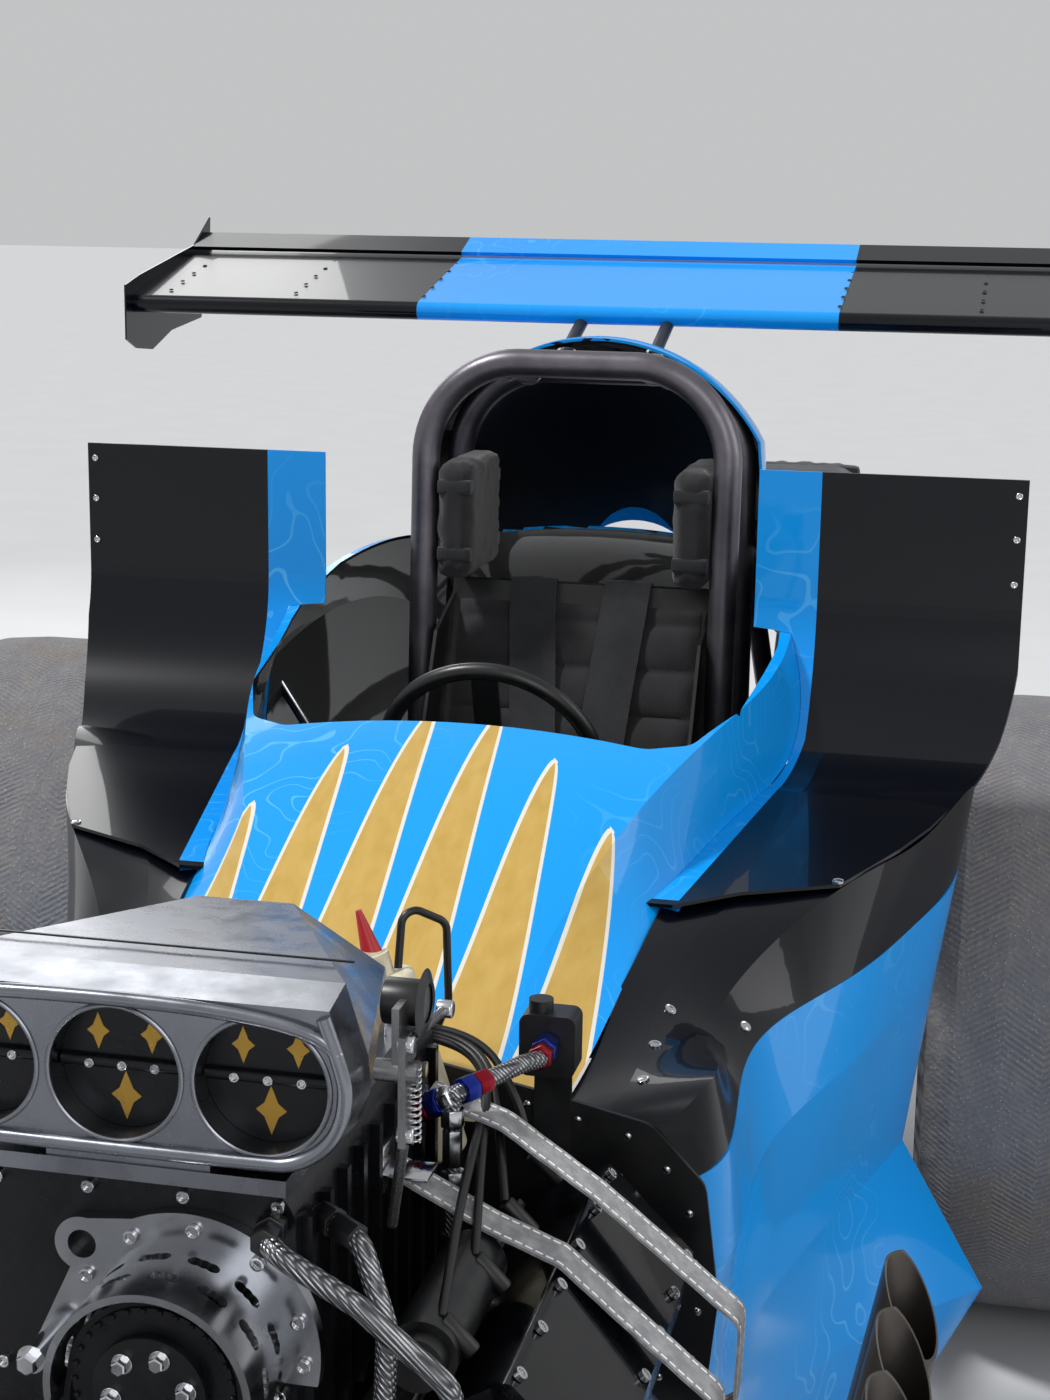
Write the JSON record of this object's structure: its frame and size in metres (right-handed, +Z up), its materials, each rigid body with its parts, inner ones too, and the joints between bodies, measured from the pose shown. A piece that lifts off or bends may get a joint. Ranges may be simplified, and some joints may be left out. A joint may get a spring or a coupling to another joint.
{
  "type": "front-engined drag racing roadster",
  "caption": "Front-engined supercharged drag racing roadster with a tube frame, moulded body, roll cage, high wing, wide rear slicks and narrow steered front wheels.",
  "frame": {"origin": "centre of the car's length and width, on the floor", "axes": "+X the car's left, -Y forward, +Z up"},
  "size_m": [2.06, 4.6, 1.585],
  "materials": {
    "frame_steel": "satin dark grey",
    "cage_steel": "satin grey steel",
    "tyre_rubber": "scuffed slick rubber",
    "wheel_aluminium": "spun and polished",
    "machined_steel": "machined",
    "blue_paint": "gloss azure paint on moulded skin",
    "black_gloss": "gloss black paint",
    "black_satin": "satin black",
    "sheet_aluminium": "rolled sheet",
    "cast_aluminium": "cast",
    "engine_paint": "dark block",
    "polished_aluminium": "mirror polished",
    "header_steel": "bare heat-stained pipe",
    "pad_fabric": "black padded cloth",
    "pack_fabric": "black nylon pack",
    "webbing": "grey woven webbing",
    "bottle_plastic": "aged translucent plastic",
    "braided_hose": "braided hose",
    "wheel_rubber": "small hard rubber wheels"
  },
  "bodies": {
    "chassis": {"axle_housing": "frame_steel", "blower_case": "black_satin", "blower_drive": "black_satin", "blower_straps": "webbing", "body_side_left": "blue_paint", "body_side_right": "blue_paint", "body_tub": "blue_paint", "butterflies": "black_satin", "catch_bottle": "bottle_plastic", "cowl": "blue_paint", "cylinder_heads": "cast_aluminium", "driveline": "machined_steel", "engine_block": "engine_paint", "filter_canister": "black_satin", "firewall": "black_satin", "floor_pan": "sheet_aluminium", "frame_clip_left": "frame_steel", "frame_clip_right": "frame_steel", "frame_crossmembers": "frame_steel", "frame_side_left": "frame_steel", "frame_side_right": "frame_steel", "front_axle": "frame_steel", "fuel_block": "black_satin", "fuel_lines": "braided_hose", "fuel_tank": "sheet_aluminium", "guard_ring": "polished_aluminium", "head_pads": "pad_fabric", "headers": "header_steel", "headrest_fairing": "blue_paint", "injector_hat": "polished_aluminium", "intake_manifold": "cast_aluminium", "parachute_packs": "pack_fabric", "roll_cage": "cage_steel", "seat": "sheet_aluminium", "spoiler_left": "black_gloss", "spoiler_right": "black_gloss", "steering_box": "frame_steel", "throttle_linkage": "machined_steel", "valve_covers": "black_gloss", "wheelie_bar": "frame_steel", "wing": "black_gloss", "wing_end_plates": "black_gloss", "wing_mounts": "frame_steel"},
    "rear_axle": {"axle_shaft": "machined_steel", "rear_tyre_left": "tyre_rubber", "rear_tyre_right": "tyre_rubber", "rear_rim_left": "wheel_aluminium", "rear_rim_right": "wheel_aluminium"},
    "knuckle_left": {"knuckle_left": "machined_steel"},
    "knuckle_right": {"knuckle_right": "machined_steel"},
    "front_wheel_left": {"front_tyre_left": "tyre_rubber", "front_rim_left": "wheel_aluminium"},
    "front_wheel_right": {"front_tyre_right": "tyre_rubber", "front_rim_right": "wheel_aluminium"},
    "tie_rod": {"tie_rod": "machined_steel"},
    "pitman_arm": {"pitman_arm": "machined_steel"},
    "steering_wheel": {"steering_wheel": "black_satin"},
    "bar_wheels": {"bar_wheels": "wheel_rubber"},
    "steering_shaft": {"steering_shaft": "machined_steel"}
  },
  "joints": [
    {"name": "rear_axle_spin", "type": "hinge", "parent": "chassis", "child": "rear_axle", "pos_m": [0, 1.2, 0.457], "axis": [1, 0, 0], "continuous": true},
    {"name": "steer_left", "type": "hinge", "parent": "chassis", "child": "knuckle_left", "pos_m": [0.5, -1.975, 0.28], "axis": [0, 0, 1], "range_deg": [-18, 18]},
    {"name": "steer_right", "type": "hinge", "parent": "chassis", "child": "knuckle_right", "pos_m": [-0.5, -1.975, 0.28], "axis": [0, 0, 1], "range_deg": [-18, 18]},
    {"name": "tie_rod_swing", "type": "hinge", "parent": "knuckle_left", "child": "tie_rod", "pos_m": [0.5, -1.845, 0.21], "axis": [0, 0, 1], "range_deg": [-18, 18]},
    {"name": "pitman_swing", "type": "hinge", "parent": "chassis", "child": "pitman_arm", "pos_m": [-0.11, -1.975, 0.23], "axis": [0, 0, 1], "range_deg": [-18, 18]},
    {"name": "steering_wheel_turn", "type": "hinge", "parent": "chassis", "child": "steering_wheel", "pos_m": [0, 0.59, 0.92], "axis": [0, -0.9394, -0.3429], "range_deg": [-144, 144]},
    {"name": "steering_shaft_turn", "type": "hinge", "parent": "chassis", "child": "steering_shaft", "pos_m": [-0.11, -1.945, 0.345], "axis": [0.0556, -0.9983, -0.0185], "range_deg": [-144, 144]},
    {"name": "front_left_spin", "type": "hinge", "parent": "knuckle_left", "child": "front_wheel_left", "pos_m": [0.61, -1.975, 0.28], "axis": [1, 0, 0], "continuous": true},
    {"name": "front_right_spin", "type": "hinge", "parent": "knuckle_right", "child": "front_wheel_right", "pos_m": [-0.61, -1.975, 0.28], "axis": [1, 0, 0], "continuous": true},
    {"name": "bar_wheels_spin", "type": "hinge", "parent": "chassis", "child": "bar_wheels", "pos_m": [0, 2.25, 0.082], "axis": [1, 0, 0], "continuous": true}
  ],
  "couplings": [
    {"joint": "steer_right", "follows": "steer_left", "ratio": 1},
    {"joint": "tie_rod_swing", "follows": "steer_left", "ratio": -1},
    {"joint": "pitman_swing", "follows": "steer_left", "ratio": 1},
    {"joint": "steering_wheel_turn", "follows": "steer_left", "ratio": -8},
    {"joint": "steering_shaft_turn", "follows": "steer_left", "ratio": -8}
  ]
}
